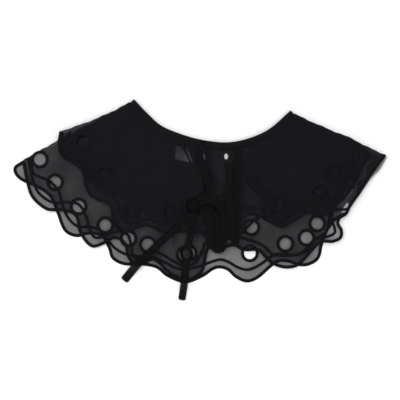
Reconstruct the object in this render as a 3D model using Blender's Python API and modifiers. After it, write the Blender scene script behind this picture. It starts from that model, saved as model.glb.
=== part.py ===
"""A two-tier cape collar of sheer black organza, tied with a ribbon and laid flat.

It lies with its front up and is folded at both shoulders, so the fronts lie on the back. Places are in
millimetres from the middle of the laid-out collar, x to the right and y away from the hem. Left and
right are those of someone who looks down on it. Heights are above the table.
"""

import math
from collections import namedtuple

import bmesh
import bpy
import numpy as np

MM = 0.001
WALL = 1.0
SEAM = 0.3
LAYER_GAP = 0.4
BINDING_WIDTH = 8.0
BINDING_ROUND = 0.7
HOLE_RADIUS = 8.2
HOLE_SIDES = 16
RIBBON_WIDTH = 10.0
RIBBON_SPACING = 7.0
COLUMN_SPACING = 10.0
BOW_REACH = 40.0
BINDING_COLUMNS = 28
TURNED_COLUMNS = 10
CUTTER_TOP = 30.0
SMOOTH_ANGLE = 40.0

# How full a curve is between its points: a scallop is fuller than the neck or a ribbon.
SCALLOP_ROUNDNESS = 1.15
LINE_ROUNDNESS = 1.0

# The cloth spans the steps below it: it stays up for DRAPE_REACH past an edge, less DRAPE_SOFT.
CELL = 2.0
DRAPE_REACH = 20.0
DRAPE_SOFT = 12.0
TABLE_HALF_WIDTH = 280.0
TABLE_HALF_DEPTH = 160.0

# Where the upper tier turns over at a shoulder, it bulges out past the edges of its two sheets.
TURN_BULGE = 0.9
TURN_STEPS = 5

Place = namedtuple("Place", "x y")
Scallop = namedtuple("Scallop", "dip_x dip_y side_x side_y tip_x tip_y hole_x hole_y")
Fold = namedtuple("Fold", "x0 y0 x1 y1 height width")
Hem = namedtuple("Hem", "start scallops end")
Sheet = namedtuple("Sheet", "name hem neck_from neck_to rows folds bow_left bow_right")

# The neck edge, from the left shoulder to the right.
NECK = [
    Place(-89, 134),
    Place(-71, 115),
    Place(-53, 99),
    Place(-28, 88),
    Place(0, 80),
    Place(35, 76),
    Place(64, 81),
    Place(93, 94),
    Place(122, 119),
]

# A row for each scallop: the dip before it, a place on its way down, its tip and the middle of its
# cut hole.
BACK_UNDER_HEM = Hem(
    start=[Place(-236, 54)],
    scallops=[
        Scallop(-245, 50, -251, 42, -246, 30, -215, 53),
        Scallop(-214, 13, -193, -17, -171, -49, -163, -9),
        Scallop(-147, -46, -125, -60, -110, -84, -96, -52),
        Scallop(-72, -89, -46, -101, -21, -112, -17, -72),
        Scallop(25, -92, 43, -100, 67, -111, 67, -72),
        Scallop(112, -83, 130, -87, 151, -86, 143, -51),
    ],
    end=[
        Place(164, -66), Place(171, -45), Place(181, -29), Place(195, -17),
        Place(203, -8), Place(216, 8), Place(229, 28), Place(251, 58),
    ],
)
FRONT_LEFT_UNDER_HEM = Hem(
    start=[Place(-238, 50)],
    scallops=[
        Scallop(-235, 34, -231, 13, -216, -10, -192, 22),
        Scallop(-184, -16, -166, -29, -148, -62, -127, -34),
        Scallop(-112, -52, -100, -65, -86, -88, -70, -60),
        Scallop(-64, -82, -45, -98, -24, -108, -17, -74),
    ],
    end=[Place(-2, -106), Place(4, -96), Place(7, -78), Place(12, -65)],
)
FRONT_RIGHT_UNDER_HEM = Hem(
    start=[Place(34, -65)],
    scallops=[
        Scallop(45, -63, 51, -66, 62, -69, 69, -37),
        Scallop(77, -69, 91, -82, 116, -92, 115, -59),
        Scallop(161, -59, 173, -58, 188, -53, 157, -33),
    ],
    end=[
        Place(192, -43), Place(186, -31), Place(187, -22), Place(196, -14),
        Place(204, -1), Place(226, 30), Place(246, 56),
    ],
)
BACK_UPPER_HEM = Hem(
    start=[Place(-187, 90)],
    scallops=[
        Scallop(-187, 80, -187, 69, -182, 59, -156, 76),
        Scallop(-161, 47, -155, 32, -145, 20, -123, 45),
        Scallop(-109, 4, -85, -18, -56, -31, -59, 3),
        Scallop(-13, -27, 8, -33, 30, -40, 30, -5),
        Scallop(67, -21, 88, -28, 107, -33, 105, 4),
        Scallop(148, -9, 162, -10, 176, -10, 164, 19),
        Scallop(198, 26, 206, 33, 211, 42, 187, 52),
    ],
    end=[Place(219, 68), Place(208, 80)],
)
FRONT_LEFT_UPPER_HEM = Hem(
    start=[Place(-188, 91)],
    scallops=[
        Scallop(-190, 78, -189, 66, -185, 55, -157, 78),
        Scallop(-156, 37, -153, 22, -147, 6, -129, 34),
        Scallop(-123, -4, -117, -18, -108, -42, -90, -13),
        Scallop(-74, -35, -56, -40, -37, -45, -40, -16),
    ],
    end=[Place(-21, -43), Place(-1, -45), Place(6, -49)],
)
FRONT_RIGHT_UPPER_HEM = Hem(
    start=[Place(61, 31), Place(70, 12), Place(82, 3), Place(87, -10)],
    scallops=[
        Scallop(90, -25, 97, -32, 108, -36, 108, -5),
        Scallop(144, -19, 156, -22, 167, -23, 159, 10),
        Scallop(186, -5, 196, 5, 205, 16, 181, 37),
    ],
    end=[Place(216, 39), Place(226, 62), Place(219, 72), Place(208, 80.5)],
)
# At the right side the back's hem is turned under, along a line from the shoulder's end inwards.
TURN = [Place(248, 56), Place(228, 28), Place(216, 8), Place(203, -7)]
TURNED_EDGE = [Place(238, 53), Place(226, 46), Place(223, 33), Place(212, 22), Place(210, 8), Place(202, -2)]

# Where along the neck edge each sheet starts and ends, from 0 at the left shoulder to 1 at the right.
UNDER_INSET = 0.004
LEFT_FRONT_END = 0.455
RIGHT_FRONT_START = 0.475
RIGHT_UPPER_START = 0.705

# Soft ridges in the cloth, each along a line that runs from the neck towards the hem. A ridge has
# FOLD_LOW of its height at its ends.
FOLD_LOW = 0.65
BACK_FOLDS = [
    Fold(-120, 70, -190, 10, 1.2, 13),
    Fold(-40, 66, -90, -50, 0.8, 14),
    Fold(120, 60, 150, -40, 1.0, 14),
]
FRONT_LEFT_FOLDS = [
    Fold(-110, 95, -200, 48, 1.5, 12),
    Fold(-70, 80, -130, -30, 1.2, 13),
    Fold(-38, 66, -72, -50, 1.0, 9),
    Fold(-14, 60, -40, -66, 1.6, 6),
    Fold(-2, 58, -10, -70, 1.6, 5),
]
FRONT_RIGHT_FOLDS = [
    Fold(52, 60, 54, -50, 1.8, 5),
    Fold(66, 60, 74, -30, 1.4, 6),
    Fold(118, 70, 170, -50, 1.2, 14),
]
UPPER_FOLDS = [
    Fold(-96, 100, -160, 60, 0.8, 11),
    Fold(-60, 74, -96, -6, 0.8, 12),
    Fold(73, 57, 98, 62, 1.0, 6),
    Fold(150, 88, 190, 60, 1.0, 10),
]

# The sheets of both tiers in the order in which they lie, each with the stretch of the neck edge that
# it takes and how far its left and right edges bow outwards.
SHEETS = [
    Sheet("back_upper_tier", BACK_UPPER_HEM, 0, 1, 6, [], -4.2, -2.0),
    Sheet("back_under_tier", BACK_UNDER_HEM, UNDER_INSET, 1 - UNDER_INSET, 12, BACK_FOLDS, 1.0, 0.0),
    Sheet(
        "front_right_under_tier",
        FRONT_RIGHT_UNDER_HEM,
        RIGHT_FRONT_START,
        1 - UNDER_INSET,
        10,
        FRONT_RIGHT_FOLDS,
        0.0,
        0.0,
    ),
    Sheet(
        "front_left_under_tier",
        FRONT_LEFT_UNDER_HEM,
        UNDER_INSET,
        LEFT_FRONT_END,
        10,
        FRONT_LEFT_FOLDS,
        1.0,
        0.0,
    ),
    Sheet(
        "front_right_upper_tier",
        FRONT_RIGHT_UPPER_HEM,
        RIGHT_UPPER_START,
        1,
        6,
        UPPER_FOLDS,
        0.0,
        -2.0,
    ),
    Sheet(
        "front_left_upper_tier",
        FRONT_LEFT_UPPER_HEM,
        0,
        LEFT_FRONT_END,
        6,
        UPPER_FOLDS,
        -4.2,
        0.0,
    ),
]
EYELET_IN = ("back_upper_tier", "back_under_tier", "front_right_under_tier")
KEYHOLE_IN = ("front_left_under_tier", "front_left_upper_tier")

# The ribbon's stretches, laid down in this order, each a line along its middle.
KNOT = Place(-10, -8)
KNOT_SIZE = (15.0, 19.0, 6.0)
KNOT_ROUND = 2.2
RIBBON_REACH = 8.0
RIBBON_SOFT = 6.0
RIBBON_STRETCHES = {
    "ribbon_neck_right": [(50, 66), (50, 44), (51, 10), (51, -20), (49, -44), (47, -60)],
    "ribbon_loop_middle": [(0, -7), (10, -10), (20, -24), (23, -46), (22, -71)],
    "ribbon_neck_left": [(-2, 66), (0, 52), (7, 34), (13, 18), (9, 6), (-2, 2)],
    "ribbon_loop_left": [(1, -13), (8, -18), (12.5, -34), (12.5, -52), (15, -67)],
    "ribbon_loop_right": [(-2, -2), (12, -1), (26, -8), (32, -26), (32, -48), (30.5, -69)],
    "ribbon_neck_middle": [(37, 49), (38, 30), (38, 4), (41, -22), (41, -52)],
    "ribbon_tail_slanted": [(-15, -18), (-24, -30), (-39, -44), (-70, -73), (-86, -88), (-101, -109)],
    "ribbon_tail_straight": [(-11, -18), (-12, -44), (-16, -62), (-19, -84), (-21, -110), (-24, -133)],
}

# Small gaps beside the knot: a keyhole slit in the front and the eyelet that the ribbon passes.
KEYHOLE = [Place(-31, 72), Place(-27, 71), Place(-24, 64), Place(-16, 48), Place(-31, 51)]
EYELET = Place(35, 58)
EYELET_SIZE = (5.0, 8.0)


def smooth_line(points, spacing, roundness=LINE_ROUNDNESS):
    """Points about spacing apart on a smooth curve through the given ones."""
    knots = np.array(points, float)
    ahead = np.vstack([knots[1:], 2 * knots[-1] - knots[-2]])
    behind = np.vstack([2 * knots[0] - knots[1], knots[:-1]])
    lean = ahead - behind
    lean /= np.linalg.norm(lean, axis=1)[:, None]
    line = [knots[:1]]
    for i in range(len(knots) - 1):
        chord = np.linalg.norm(knots[i + 1] - knots[i])
        t = np.linspace(0, 1, max(1, round(chord / spacing)) + 1)[1:, None]
        pull = roundness * chord
        line.append(
            (2 * t**3 - 3 * t**2 + 1) * knots[i]
            + (t**3 - 2 * t**2 + t) * pull * lean[i]
            + (3 * t**2 - 2 * t**3) * knots[i + 1]
            + (t**3 - t**2) * pull * lean[i + 1]
        )
    return np.vstack(line)


def shares(line):
    """How far along the line each of its points is, from 0 to 1."""
    steps = np.linalg.norm(np.diff(line, axis=0), axis=1)
    return np.concatenate([[0], np.cumsum(steps)]) / steps.sum()


def hem_line(hem):
    """The scalloped edge: through every dip and tip, from one end of the cloth to the other."""
    points = list(hem.start)
    for scallop in hem.scallops:
        points += [
            (scallop.dip_x, scallop.dip_y),
            (scallop.side_x, scallop.side_y),
            (scallop.tip_x, scallop.tip_y),
        ]
    return smooth_line(points + list(hem.end), COLUMN_SPACING, SCALLOP_ROUNDNESS)


def neck_line(at, inset):
    """Points at the given shares of the neck edge, moved into the cloth by inset."""
    edge = smooth_line(NECK, COLUMN_SPACING / 2)
    way = np.gradient(edge, axis=0)
    way /= np.linalg.norm(way, axis=1)[:, None]
    inner = edge + inset * np.column_stack([way[:, 1], -way[:, 0]])
    along = shares(edge)
    return np.column_stack([np.interp(at, along, inner[:, k]) for k in (0, 1)])


def ridge_height(places, folds):
    """The height that the soft ridges add at each place."""
    height = np.zeros(places.shape[:-1])
    for fold in folds:
        start = np.array([fold.x0, fold.y0])
        run = np.array([fold.x1, fold.y1]) - start
        along = ((places - start) @ run / (run @ run)).clip(0, 1)
        off = np.linalg.norm(places - start - along[..., None] * run, axis=-1)
        swell = FOLD_LOW + (1 - FOLD_LOW) * np.sin(math.pi * along)
        height += fold.height * swell * np.exp(-((off / fold.width) ** 2))
    return height


def inside(places, outline):
    """True for the places that the closed outline goes round."""
    x, y = places[..., 0], places[..., 1]
    found = np.zeros(x.shape, bool)
    for (x0, y0), (x1, y1) in zip(outline, np.roll(outline, -1, axis=0)):
        if y0 != y1:
            crosses = (y0 > y) != (y1 > y)
            found ^= crosses & (x < x0 + (y - y0) * (x1 - x0) / (y1 - y0))
    return found


class Pile:
    """How high the cloth on the table reaches, on a grid of square cells."""

    def __init__(self):
        self.x = np.arange(-TABLE_HALF_WIDTH, TABLE_HALF_WIDTH + CELL, CELL)
        self.y = np.arange(-TABLE_HALF_DEPTH, TABLE_HALF_DEPTH + CELL, CELL)
        self.places = np.stack(np.meshgrid(self.x, self.y), axis=-1)
        self.top = np.zeros(self.places.shape[:2])

    def widen(self, grid, reach):
        """The highest value within reach of each cell."""
        cells = round(reach / CELL)
        for axis in (0, 1):
            shifted = [np.roll(grid, k, axis) for k in range(-cells, cells + 1)]
            grid = np.max(shifted, axis=0)
        return grid

    def soften(self, grid, reach):
        """The mean over reach of each cell, taken twice so that it has no corners."""
        cells = round(reach / CELL / 2)
        for axis in (0, 1, 0, 1):
            grid = np.mean([np.roll(grid, k, axis) for k in range(-cells, cells + 1)], axis=0)
        return grid

    def support(self, reach, soft):
        """The underside of a sheet that is laid on the pile."""
        lifted = np.where(self.top > 0, self.top + LAYER_GAP, 0.0)
        return self.soften(self.widen(lifted, reach), soft)

    def sample(self, grid, places):
        """The grid's value at each place, between its cells."""
        column = (places[..., 0] - self.x[0]) / CELL
        row = (places[..., 1] - self.y[0]) / CELL
        i, j = row.astype(int), column.astype(int)
        u, v = row - i, column - j
        near = grid[i, j] * (1 - v) + grid[i, j + 1] * v
        far = grid[i + 1, j] * (1 - v) + grid[i + 1, j + 1] * v
        return near * (1 - u) + far * u

    def add(self, outline, top):
        """Raises the pile to top within the outline."""
        under = inside(self.places, outline)
        self.top = np.where(under, np.maximum(self.top, top), self.top)


pile = Pile()
collection = bpy.data.collections.new("cape_collar")
cutters = bpy.data.collections.new("cutters")


def finish(name, colour, roughness):
    """A material with one colour and roughness."""
    material = bpy.data.materials.new(name)
    material.use_nodes = True
    shader = material.node_tree.nodes["Principled BSDF"]
    shader.inputs["Base Color"].default_value = (*colour, 1.0)
    shader.inputs["Roughness"].default_value = roughness
    return material


def sheet_object(name, grid, material):
    """An open sheet from a grid of points in millimetres, rows down the cloth and columns to the right."""
    rows, columns = grid.shape[:2]
    faces = [
        (
            i * columns + j,
            (i + 1) * columns + j,
            (i + 1) * columns + j + 1,
            i * columns + j + 1,
        )
        for i in range(rows - 1)
        for j in range(columns - 1)
    ]
    mesh = bpy.data.meshes.new(name)
    mesh.from_pydata((grid.reshape(-1, 3) * MM).tolist(), [], faces)
    mesh.shade_smooth()
    mesh.set_sharp_from_angle(angle=math.radians(SMOOTH_ANGLE))
    mesh.materials.append(material)
    sheet = bpy.data.objects.new(name, mesh)
    collection.objects.link(sheet)
    return sheet


def thicken(sheet, thickness):
    """Gives the sheet a wall that grows up from its underside."""
    wall = sheet.modifiers.new("wall", "SOLIDIFY")
    wall.thickness = thickness * MM
    wall.offset = 1.0
    return wall


def cutter_object(name, build):
    """A hidden cutter whose shape build adds to a bmesh."""
    shape = bmesh.new()
    build(shape)
    mesh = bpy.data.meshes.new(name)
    shape.to_mesh(mesh)
    shape.free()
    cutter = bpy.data.objects.new(name, mesh)
    cutter.hide_render = True
    cutter.display_type = "WIRE"
    cutters.objects.link(cutter)
    return cutter


def add_drums(shape, rounds):
    """Upright drums through every layer: x, y, and the radius along x and along y."""
    for x, y, across, along in rounds:
        made = bmesh.ops.create_cone(
            shape,
            cap_ends=True,
            segments=HOLE_SIDES,
            radius1=MM,
            radius2=MM,
            depth=2 * CUTTER_TOP * MM,
        )
        bmesh.ops.scale(shape, verts=made["verts"], vec=(across, along, 1.0))
        bmesh.ops.translate(shape, verts=made["verts"], vec=(x * MM, y * MM, 0.0))


def cut(sheet, cutter):
    """Cuts the cutter's shape out of the sheet."""
    hole = sheet.modifiers.new("cut " + cutter.name, "BOOLEAN")
    hole.operation = "DIFFERENCE"
    hole.solver = "EXACT"
    hole.object = cutter


def bowed(places, depth, column, bow):
    """Moves the columns near an end sideways, so that this edge of the sheet is a shallow arc."""
    run = places[-1, column] - places[0, column]
    out = np.array([run[1], -run[0]]) / np.linalg.norm(run)
    if column == -1:
        out = -out
    gap = np.linalg.norm(places[-1] - places[-1, column], axis=1)
    fade = np.exp(-((gap / BOW_REACH) ** 2))[None, :, None]
    return places + bow * 4 * depth * (1 - depth) * fade * out


def laid_sheet(upper, lower, rows, folds=(), bow_left=0.0, bow_right=0.0):
    """A sheet between two lines of as many points, laid on the pile."""
    depth = np.linspace(0, 1, rows)[:, None, None]
    places = upper + depth * (lower - upper)
    places = bowed(bowed(places, depth, 0, bow_left), depth, -1, bow_right)
    support = pile.support(DRAPE_REACH, DRAPE_SOFT)
    under = pile.sample(support, places) + ridge_height(places, folds)
    outline = np.vstack([lower, places[::-1, -1], upper[::-1], places[:, 0]])
    pile.add(outline, support + ridge_height(pile.places, folds) + WALL)
    return np.dstack([places, under])


def tier(row, material):
    """One sheet of a tier, from the neck binding to its scalloped hem."""
    lower = hem_line(row.hem)
    along = row.neck_from + (row.neck_to - row.neck_from) * shares(lower)
    upper = neck_line(along, BINDING_WIDTH + SEAM)
    grid = laid_sheet(upper, lower, row.rows, row.folds, row.bow_left, row.bow_right)
    sheet = sheet_object(row.name, grid, material)
    thicken(sheet, WALL)
    holes = [(s.hole_x, s.hole_y, HOLE_RADIUS, HOLE_RADIUS) for s in row.hem.scallops]
    cut(sheet, cutter_object(row.name + "_holes", lambda shape: add_drums(shape, holes)))
    return sheet, grid


def shoulder_turn(name, edge, side, material):
    """The upper tier's cloth where it turns over at a shoulder, from the back sheet to the front one.

    edge is the front sheet's edge from the neck to the hem, and side is 1 on the right, -1 on the left.
    """
    way = np.gradient(edge[:, :2], axis=0)
    way /= np.linalg.norm(way, axis=1)[:, None]
    out = side * np.column_stack([-way[:, 1], way[:, 0]])
    rows = []
    for share in np.linspace(0, 1, TURN_STEPS):
        places = edge[:, :2] + (SEAM + TURN_BULGE * math.sin(math.pi * share)) * out
        rows.append(np.column_stack([places, share * (edge[:, 2] + WALL)]))
    if side < 0:
        rows.reverse()
    strip = sheet_object(name, np.stack(rows), material)
    thicken(strip, WALL)
    return strip


def binding(name, span, underside, material):
    """A stretch of the bound neck edge, which holds the edges of both tiers."""
    at = np.linspace(*span, round(BINDING_COLUMNS * (span[1] - span[0])))
    rows = np.stack([neck_line(at, 0.0), neck_line(at, BINDING_WIDTH)])
    grid = np.dstack([rows, np.full(rows.shape[:2], underside)])
    band = sheet_object(name, grid, material)
    thicken(band, 2 * WALL + LAYER_GAP)
    edge = band.modifiers.new("rounded edges", "BEVEL")
    edge.width = BINDING_ROUND * MM
    edge.segments = 2
    edge.limit_method = "ANGLE"
    return band


def ribbon(name, points, material):
    """A stretch of the ribbon, laid on the pile along its middle line."""
    middle = smooth_line(points, RIBBON_SPACING)
    way = np.gradient(middle, axis=0)
    way /= np.linalg.norm(way, axis=1)[:, None]
    across = np.column_stack([-way[:, 1], way[:, 0]]) * RIBBON_WIDTH / 2
    places = np.stack([middle - across, middle, middle + across], axis=1)
    support = pile.support(RIBBON_REACH, RIBBON_SOFT)
    under = pile.sample(support, places)
    outline = np.vstack([places[:, 0], places[::-1, 2]])
    pile.add(outline, support + WALL)
    strip = sheet_object(name, np.dstack([places, under]), material)
    thicken(strip, WALL)
    return strip


def knot(material):
    """The tied knot, a rounded lump on top of the cloth."""
    half = np.array(KNOT_SIZE[:2]) / 2
    corners = np.array(KNOT) + half * [(-1, -1), (1, -1), (1, 1), (-1, 1)]
    underside = pile.top[inside(pile.places, corners)].max() + LAYER_GAP
    bpy.ops.mesh.primitive_cube_add(size=1.0)
    lump = bpy.context.object
    lump.name = "ribbon_knot"
    lump.data.name = "ribbon_knot"
    middle = (KNOT.x, KNOT.y, underside + KNOT_SIZE[2] / 2)
    for vertex in lump.data.vertices:
        vertex.co = [(c * size + m) * MM for c, size, m in zip(vertex.co, KNOT_SIZE, middle)]
    lump.data.materials.append(material)
    edge = lump.modifiers.new("rounded edges", "BEVEL")
    edge.width = KNOT_ROUND * MM
    edge.segments = 3
    for holder in lump.users_collection:
        holder.objects.unlink(lump)
    collection.objects.link(lump)
    return lump


def add_keyhole(shape):
    """An upright prism with the keyhole slit's outline."""
    corners = [shape.verts.new((p.x * MM, p.y * MM, -CUTTER_TOP * MM)) for p in reversed(KEYHOLE)]
    base = shape.faces.new(corners)
    made = bmesh.ops.extrude_face_region(shape, geom=[base])
    raised = [v for v in made["geom"] if isinstance(v, bmesh.types.BMVert)]
    bmesh.ops.translate(shape, verts=raised, vec=(0, 0, 2 * CUTTER_TOP * MM))
    bmesh.ops.recalc_face_normals(shape, faces=shape.faces)


def build():
    """Lays the sheets down from the table up, then the binding and the ribbon."""
    for old in list(bpy.data.objects):
        bpy.data.objects.remove(old, do_unlink=True)
    bpy.context.scene.collection.children.link(collection)
    bpy.context.scene.collection.children.link(cutters)
    cutters.hide_render = True

    organza = finish("black organza", (0.018, 0.018, 0.020), 0.6)
    satin = finish("black satin binding", (0.010, 0.010, 0.011), 0.45)
    grosgrain = finish("black grosgrain ribbon", (0.014, 0.014, 0.015), 0.5)

    turned = laid_sheet(*turned_lines(), 3)
    thicken(sheet_object("back_under_tier_turned_hem", turned, organza), WALL)
    sheets, grids = {}, {}
    for row in SHEETS:
        sheets[row.name], grids[row.name] = tier(row, organza)
    shoulder_turn("upper_tier_left_turn", grids["front_left_upper_tier"][:, 0], -1, organza)
    shoulder_turn("upper_tier_right_turn", grids["front_right_upper_tier"][:, -1], 1, organza)

    eyelet = cutter_object(
        "eyelet",
        lambda shape: add_drums(shape, [(EYELET.x, EYELET.y, EYELET_SIZE[0] / 2, EYELET_SIZE[1] / 2)]),
    )
    keyhole = cutter_object("keyhole", add_keyhole)
    for name in EYELET_IN:
        cut(sheets[name], eyelet)
    for name in KEYHOLE_IN:
        cut(sheets[name], keyhole)

    double = 2 * WALL + LAYER_GAP
    front = double + LAYER_GAP
    binding("back_neck_binding", (0, 1), 0.0, satin)
    binding("front_left_neck_binding", (0, LEFT_FRONT_END), front, satin)
    binding("front_right_neck_binding", (RIGHT_FRONT_START, 1), front, satin)

    for name, points in RIBBON_STRETCHES.items():
        ribbon(name, points, grosgrain)
    knot(grosgrain)


def turned_lines():
    """The turned-under hem's fold and its free edge, with as many points on each."""
    fold = smooth_line(TURN, COLUMN_SPACING)
    edge = smooth_line(TURNED_EDGE, COLUMN_SPACING)
    at = np.linspace(0, 1, TURNED_COLUMNS)
    lines = []
    for line in (fold, edge):
        lines.append(np.column_stack([np.interp(at, shares(line), line[:, k]) for k in (0, 1)]))
    return lines


build()
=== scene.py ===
"""A two-tier cape collar of sheer black organza with cutwork hems, laid flat and seen from straight above.

It lies with its front up and is folded at both shoulders. Places are in millimetres from the middle of
the laid-out collar, x to the right and y away from the hem, and heights are above the table. Left and
right are those of someone who looks down on it.
"""

import math
from collections import namedtuple

import bpy
import numpy as np
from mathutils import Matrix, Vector
from mathutils.bvhtree import BVHTree
from mathutils.geometry import delaunay_2d_cdt


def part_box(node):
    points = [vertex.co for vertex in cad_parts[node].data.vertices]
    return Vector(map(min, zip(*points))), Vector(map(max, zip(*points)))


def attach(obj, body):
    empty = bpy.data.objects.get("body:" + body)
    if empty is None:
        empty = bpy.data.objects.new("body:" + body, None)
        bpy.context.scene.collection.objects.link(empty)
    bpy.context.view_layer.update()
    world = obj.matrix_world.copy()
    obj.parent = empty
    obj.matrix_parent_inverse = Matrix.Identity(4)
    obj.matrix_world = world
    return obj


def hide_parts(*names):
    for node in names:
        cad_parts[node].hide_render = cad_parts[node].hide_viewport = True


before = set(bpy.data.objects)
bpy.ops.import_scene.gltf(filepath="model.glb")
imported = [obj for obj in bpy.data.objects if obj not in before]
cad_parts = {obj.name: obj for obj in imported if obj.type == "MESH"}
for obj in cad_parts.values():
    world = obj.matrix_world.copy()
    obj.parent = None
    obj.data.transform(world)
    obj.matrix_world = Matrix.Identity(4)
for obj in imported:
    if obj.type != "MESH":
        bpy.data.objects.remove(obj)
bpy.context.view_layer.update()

# A millimetre in metres.
MM = 0.001

# The solids' cloth is WALL thick, and a sheet lies in the middle of it, at least LOWEST above the table.
WALL = 1.0
LOWEST = 0.25

# The binding stands BINDING_BULGE past the neck edge, and the cloth goes TUCK under its inner edge.
BINDING_WIDTH = 8.0
BINDING_BULGE = 0.9
TUCK = 1.6

HOLE_RADIUS = 8.2
RIBBON_WIDTH = 10.0

# How much more light the under tier stops at a hole of the upper tier.
HOLE_VEIL = 0.26

# Where a tier turns over at a shoulder: how far it bulges past its edges, and how much denser it looks.
TURN_BULGE = 1.3
TURN_STEPS = 9
TURN_DENSE = 0.3

# How fine the cloth and the lines on it are. NECK_STEPS and BINDING_STEPS are for the whole neck edge.
EDGE_STEP = 1.6
CLOTH_STEP = 3.2
STITCH_STEP = 1.5
RIBBON_STEP = 1.6
NECK_STEPS = 260
BINDING_STEPS = 320
BINDING_SIDES = 20
STITCH_SIDES = 8
KNOT_RINGS = 40
KNOT_SIDES = 28

# Satin stitch stands out on both faces of the cloth. These are half its width on the hem, on the second
# line and round a hole, and how far its middle is from the hem's cut edge and from a hole's.
HEM_STITCH = 2.15
LINE_STITCH = 1.85
RING_STITCH = 2.1
STITCH_HALF_HEIGHT = 0.5
HEM_STITCH_IN = 1.9
RING_STITCH_OUT = 1.7

# The threads' spacing in the organza, and how much of the light a single layer stops, least and most.
ORGANZA_PITCH = 0.35
ORGANZA_COVER = (0.565, 0.62)

# A wave texture of scale 1 repeats after this length.
WAVE_REPEAT = 0.314

Place = namedtuple("Place", "x y")
Wave = namedtuple("Wave", "dip_x dip_y down_x down_y low_x low_y tip_x tip_y rise_x rise_y")
Trim = namedtuple("Trim", "start waves end")
Hem = namedtuple("Hem", "edge line holes stitched")
Crease = namedtuple("Crease", "x0 y0 x1 y1 height width dense")
Cloth = namedtuple("Cloth", "part hem neck_from neck_to creases lies_on bow_left bow_right")
Turn = namedtuple("Turn", "name back side node")

# The neck edge, from the left shoulder to the right.
NECK = [
    Place(-89, 134),
    Place(-71, 115),
    Place(-53, 99),
    Place(-28, 88),
    Place(0, 80),
    Place(35, 76),
    Place(64, 81),
    Place(93, 94),
    Place(122, 119),
]

# A row for each scallop: the dip before it, two places on its way down, its tip and a place on its way up.
# The second stitched line has rows of the same kind, holes are the middles of the cut holes, and stitched
# is the share of the edge that has satin stitch, from its left end.
BACK_UNDER_HEM = Hem(
    edge=Trim(
        start=[Place(-237, 53)],
        waves=[
            Wave(-243, 49.5, -249.5, 44.5, -250, 37, -244, 28.5, -234, 22.5),
            Wave(-218, 15.5, -202, 3.5, -192.5, -18, -182, -42.5, -166, -50),
            Wave(-148, -46.5, -133, -50, -123.5, -65, -118.5, -79, -103, -87.5),
            Wave(-75, -88.5, -58, -92.5, -45, -103, -20, -112, 3, -104.3),
            Wave(22, -92.6, 36, -94.7, 47, -104.5, 62, -111, 77, -106.5),
            Wave(104, -84.8, 119, -84.5, 133, -89, 147, -88, 160, -79),
        ],
        end=[Place(165, -60), Place(170, -46), Place(179, -31), Place(187, -25), Place(197, -20)]
        + [Place(202, -12), Place(209, 0), Place(221, 17), Place(232, 31), Place(241, 40), Place(251, 57)],
    ),
    line=Trim(
        start=[Place(-228, 56)],
        waves=[
            Wave(-226, 47, -225.5, 41, -223, 35, -215, 30.5, -205, 26.5),
            Wave(-199, 22.5, -190, 12, -185, -5, -178, -23, -164, -36),
            Wave(-149, -36.5, -135, -41.5, -123, -55.5, -113, -66, -99, -73.5),
            Wave(-80, -76.5, -60, -78.5, -47, -84.5, -28, -93, -6, -91),
            Wave(26, -80.5, 38, -83.5, 50, -90.5, 64, -94, 80, -87.5),
            Wave(100, -74, 115, -73, 130, -74, 144, -68, 151, -56),
        ],
        end=[Place(160, -50), Place(169, -44), Place(172.5, -31), Place(174.5, -18), Place(175, 13)],
    ),
    holes=[Place(-215, 54), Place(-163, -9), Place(-96, -52), Place(-15, -72), Place(67, -72)]
    + [Place(143, -51)],
    stitched=0.86,
)
FRONT_LEFT_UNDER_HEM = Hem(
    edge=Trim(
        start=[Place(-239, 50.5)],
        waves=[
            Wave(-237, 42, -233.5, 25, -226, 3, -207, -13.5, -194, -15.5),
            Wave(-184, -15.5, -168, -22, -162, -44, -146, -63.5, -129, -60),
            Wave(-113, -52.5, -101.5, -61, -98, -76, -88, -88.5, -76, -87),
            Wave(-64, -81.5, -56, -86, -44, -98, -27, -107.5, -12, -108.5),
        ],
        end=[Place(-3, -104), Place(4, -97), Place(7, -87), Place(9, -76), Place(12, -65)],
    ),
    line=Trim(
        start=[Place(-230, 56)],
        waves=[
            Wave(-228, 42, -224, 25, -217, 10, -206, 0.5, -195, -4),
            Wave(-180, -3, -163, -6, -153, -22, -148, -40, -139, -51),
            Wave(-113, -43, -98, -46, -92.5, -60, -90, -75, -80, -81),
            Wave(-64, -70, -51, -73, -38, -81, -24, -88, -10, -86.5),
        ],
        end=[Place(-1, -77), Place(4, -66), Place(6, -58)],
    ),
    holes=[Place(-194, 23.7), Place(-127, -34), Place(-70, -60), Place(-20.5, -73.5)],
    stitched=1.0,
)
FRONT_RIGHT_UNDER_HEM = Hem(
    edge=Trim(
        start=[Place(34, -65)],
        waves=[
            Wave(45, -62.5, 50, -64.5, 55, -67.5, 63, -69, 72, -68.5),
            Wave(78, -69, 87, -78, 97, -87, 116, -92.3, 133, -88),
            Wave(158, -61.5, 166, -57.5, 178, -57.7, 190, -51.5, 191, -40),
        ],
        end=[Place(186.5, -32), Place(188, -26), Place(197, -20), Place(201, -11)]
        + [Place(208, -1), Place(216, 11), Place(227, 28), Place(236, 41), Place(244, 52), Place(249, 59)],
    ),
    line=Trim(
        start=[Place(38, -50)],
        waves=[
            Wave(45, -49.5, 53, -50.5, 62, -53, 72, -56, 82, -60),
            Wave(90, -66, 97, -73, 105, -74.5, 120, -74.5, 133, -73),
            Wave(147, -62, 156, -52.5, 168, -50, 180, -45, 180, -37),
        ],
        end=[Place(177, -29), Place(176.5, -20), Place(181, -8), Place(190, 6), Place(214, 40)],
    ),
    holes=[Place(69, -37), Place(114.5, -59), Place(157, -32)],
    stitched=1.0,
)
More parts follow.
